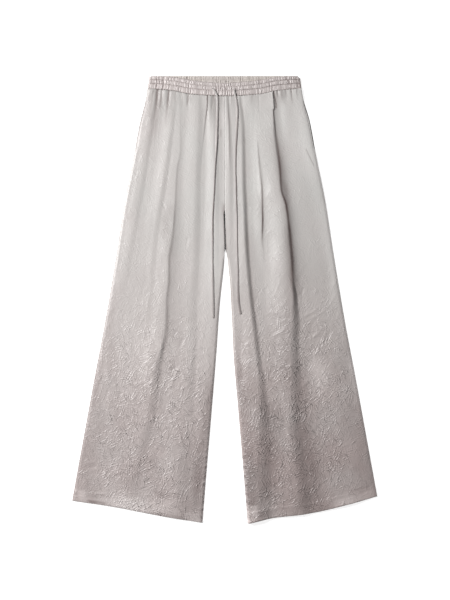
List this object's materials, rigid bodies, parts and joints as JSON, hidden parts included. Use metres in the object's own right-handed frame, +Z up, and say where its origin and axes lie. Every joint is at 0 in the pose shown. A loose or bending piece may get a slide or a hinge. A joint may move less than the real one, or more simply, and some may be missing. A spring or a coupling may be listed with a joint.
{
  "type": "drawstring trousers",
  "caption": "Wide-leg drawstring trousers in crushed satin, laid flat with the front up; gathered elastic waist, pleats and side seam pockets.",
  "frame": {"origin": "on the floor under the middle of the garment laid flat with its front up", "axes": "+X to the wearer's left, which is the viewer's right, +Y from the hems to the waist, +Z up, out of the front"},
  "size_m": [0.7224, 1.0609, 0.0152],
  "materials": {
    "satin_panel": "crushed satin, soft sheen",
    "pocket_cloth": "plain satin",
    "satin_band": "gathered satin over elastic",
    "satin_tie": "satin, sewn into a narrow tube"
  },
  "bodies": {
    "root": {"back_right": "satin_panel", "back_left": "satin_panel", "front_right": "satin_panel", "front_left": "satin_panel", "pocket_bag_right": "pocket_cloth", "pocket_bag_left": "pocket_cloth", "waistband_back": "satin_band", "waistband_front": "satin_band", "drawstring_right": "satin_tie", "drawstring_left": "satin_tie"}
  },
  "joints": []
}
